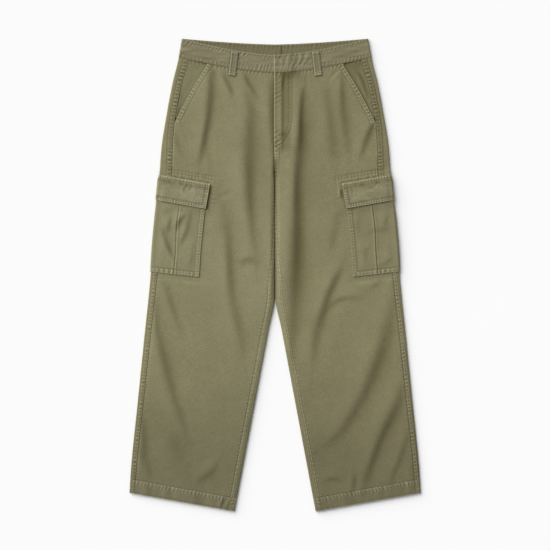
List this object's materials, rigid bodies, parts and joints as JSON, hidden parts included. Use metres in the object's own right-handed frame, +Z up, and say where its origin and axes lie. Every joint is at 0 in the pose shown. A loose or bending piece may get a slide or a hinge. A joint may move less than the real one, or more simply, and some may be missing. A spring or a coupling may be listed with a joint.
{
  "type": "cargo pants",
  "caption": "Straight-leg cotton cargo pants laid flat, with slant hip pockets, flapped side pockets, a covered fly, belt loops and turned-up hems.",
  "frame": {"origin": "on the surface it lies on, under the middle of the garment's box", "axes": "+Y from the hems to the waistband, +X to the wearer's left, +Z up from the surface through the front of the garment"},
  "size_m": [0.64, 1.0384, 0.0111],
  "materials": {
    "twill_body": "matte washed olive cotton twill",
    "twill_waistband": "matte washed olive cotton twill, two layers",
    "twill_facing": "matte olive cotton twill, a little darker",
    "twill_pocket": "matte washed olive cotton twill",
    "twill_flap": "matte olive cotton twill, more faded",
    "twill_hem": "matte olive cotton twill, two layers, a little darker",
    "zip_metal": "dark antique zip, hidden under the fly"
  },
  "bodies": {
    "root": {"waistband_left": "twill_waistband", "waistband_right": "twill_waistband", "front_panel_left": "twill_body", "front_panel_right": "twill_body", "back_panel_left": "twill_body", "back_panel_right": "twill_body", "hip_pocket_facing_left": "twill_facing", "hip_pocket_facing_right": "twill_facing", "fly_shield": "twill_facing", "fly_zip": "zip_metal", "cargo_pocket_left": "twill_pocket", "cargo_pocket_right": "twill_pocket", "cargo_flap_left": "twill_flap", "cargo_flap_right": "twill_flap", "hem_left": "twill_hem", "hem_right": "twill_hem", "belt_loop_front_left": "twill_waistband", "belt_loop_front_right": "twill_waistband", "belt_loop_back_left": "twill_waistband", "belt_loop_back_center": "twill_waistband", "belt_loop_back_right": "twill_waistband"}
  },
  "joints": []
}
